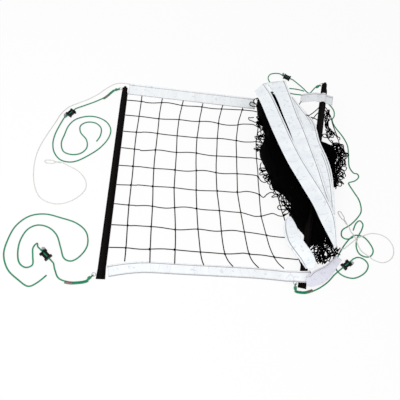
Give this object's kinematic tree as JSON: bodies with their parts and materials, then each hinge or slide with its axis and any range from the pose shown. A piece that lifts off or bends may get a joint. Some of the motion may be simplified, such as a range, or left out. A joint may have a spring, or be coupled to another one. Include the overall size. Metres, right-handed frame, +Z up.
{
  "type": "volleyball net with stiffened sides",
  "caption": "Volleyball net with taped edges and sleeved side rods, part laid flat and part gathered, with tension ropes and rope tensioners at its corners.",
  "frame": {"origin": "on the floor, under the middle of the net without its free cords", "axes": "+X along the net's length, +Y along its height as it lies, +Z up from the floor"},
  "size_m": [1.6418, 1.2825, 0.2039],
  "materials": {
    "net_twine": "matt knotted polyethylene twine",
    "tape": "white coated tape, slight sheen",
    "white_cord": "braided cord, matt",
    "webbing": "woven polypropylene webbing",
    "plug": "moulded",
    "rod": "pultruded glass fibre, satin",
    "ring_steel": "zinc plated",
    "green_rope": "braided polyester, slight sheen",
    "tensioner_plastic": "moulded nylon",
    "roller_steel": "turned, zinc plated"
  },
  "bodies": {
    "root": {"netting": "net_twine", "netting_pile": "net_twine", "netting_pile_side": "net_twine", "top_tape": "tape", "top_tape_folds": "tape", "top_tape_turn": "tape", "top_tape_end": "tape", "bottom_tape": "tape", "bottom_tape_folds": "tape", "bottom_tape_end": "tape", "headline_core": "white_cord", "footline_core": "white_cord", "left_sleeve": "webbing", "right_sleeve": "webbing", "far_left_ring": "ring_steel", "near_left_ring": "ring_steel", "far_right_ring": "ring_steel", "near_right_ring": "ring_steel", "far_left_knot": "green_rope", "near_left_knot": "green_rope", "far_right_knot": "green_rope", "near_right_knot": "green_rope", "far_left_rope": "green_rope", "near_left_rope": "green_rope", "far_right_rope": "green_rope", "near_right_rope": "green_rope", "far_right_tail": "green_rope", "far_left_tensioner": "tensioner_plastic", "near_left_tensioner": "tensioner_plastic", "far_right_tensioner": "tensioner_plastic", "near_right_tensioner": "tensioner_plastic", "far_left_pin": "roller_steel", "near_left_pin": "roller_steel", "far_right_pin": "roller_steel", "near_right_pin": "roller_steel", "left_headline": "white_cord", "left_headline_serving": "white_cord", "left_headline_eye": "white_cord", "right_headline": "white_cord", "right_headline_serving": "white_cord", "right_headline_eye": "white_cord"},
    "left_rod": {"left_rod": "rod", "left_rod_far_plug": "plug", "left_rod_near_plug": "plug"},
    "right_rod": {"right_rod": "rod", "right_rod_far_plug": "plug", "right_rod_near_plug": "plug"},
    "far_left_roller": {"far_left_roller": "roller_steel"},
    "near_left_roller": {"near_left_roller": "roller_steel"},
    "far_right_roller": {"far_right_roller": "roller_steel"},
    "near_right_roller": {"near_right_roller": "roller_steel"}
  },
  "joints": [
    {"name": "left_rod_slide", "type": "slide", "parent": "root", "child": "left_rod", "axis": [0, -1, 0], "range_m": [0, 0.98]},
    {"name": "right_rod_slide", "type": "slide", "parent": "root", "child": "right_rod", "axis": [0.1739, 0.9668, 0.1874], "range_m": [0, 0.98]},
    {"name": "far_left_roller_spin", "type": "hinge", "parent": "root", "child": "far_left_roller", "pos_m": [-0.80662, 0.2679, 0.0089], "axis": [0, 0, 1], "continuous": true},
    {"name": "near_left_roller_spin", "type": "hinge", "parent": "root", "child": "near_left_roller", "pos_m": [-0.77725, -0.41889, 0.0089], "axis": [0, 0, 1], "continuous": true},
    {"name": "far_right_roller_spin", "type": "hinge", "parent": "root", "child": "far_right_roller", "pos_m": [0.3136, 0.702, 0.0089], "axis": [0, 0, 1], "continuous": true},
    {"name": "near_right_roller_spin", "type": "hinge", "parent": "root", "child": "near_right_roller", "pos_m": [0.50049, -0.41395, 0.0089], "axis": [0, 0, 1], "continuous": true}
  ]
}
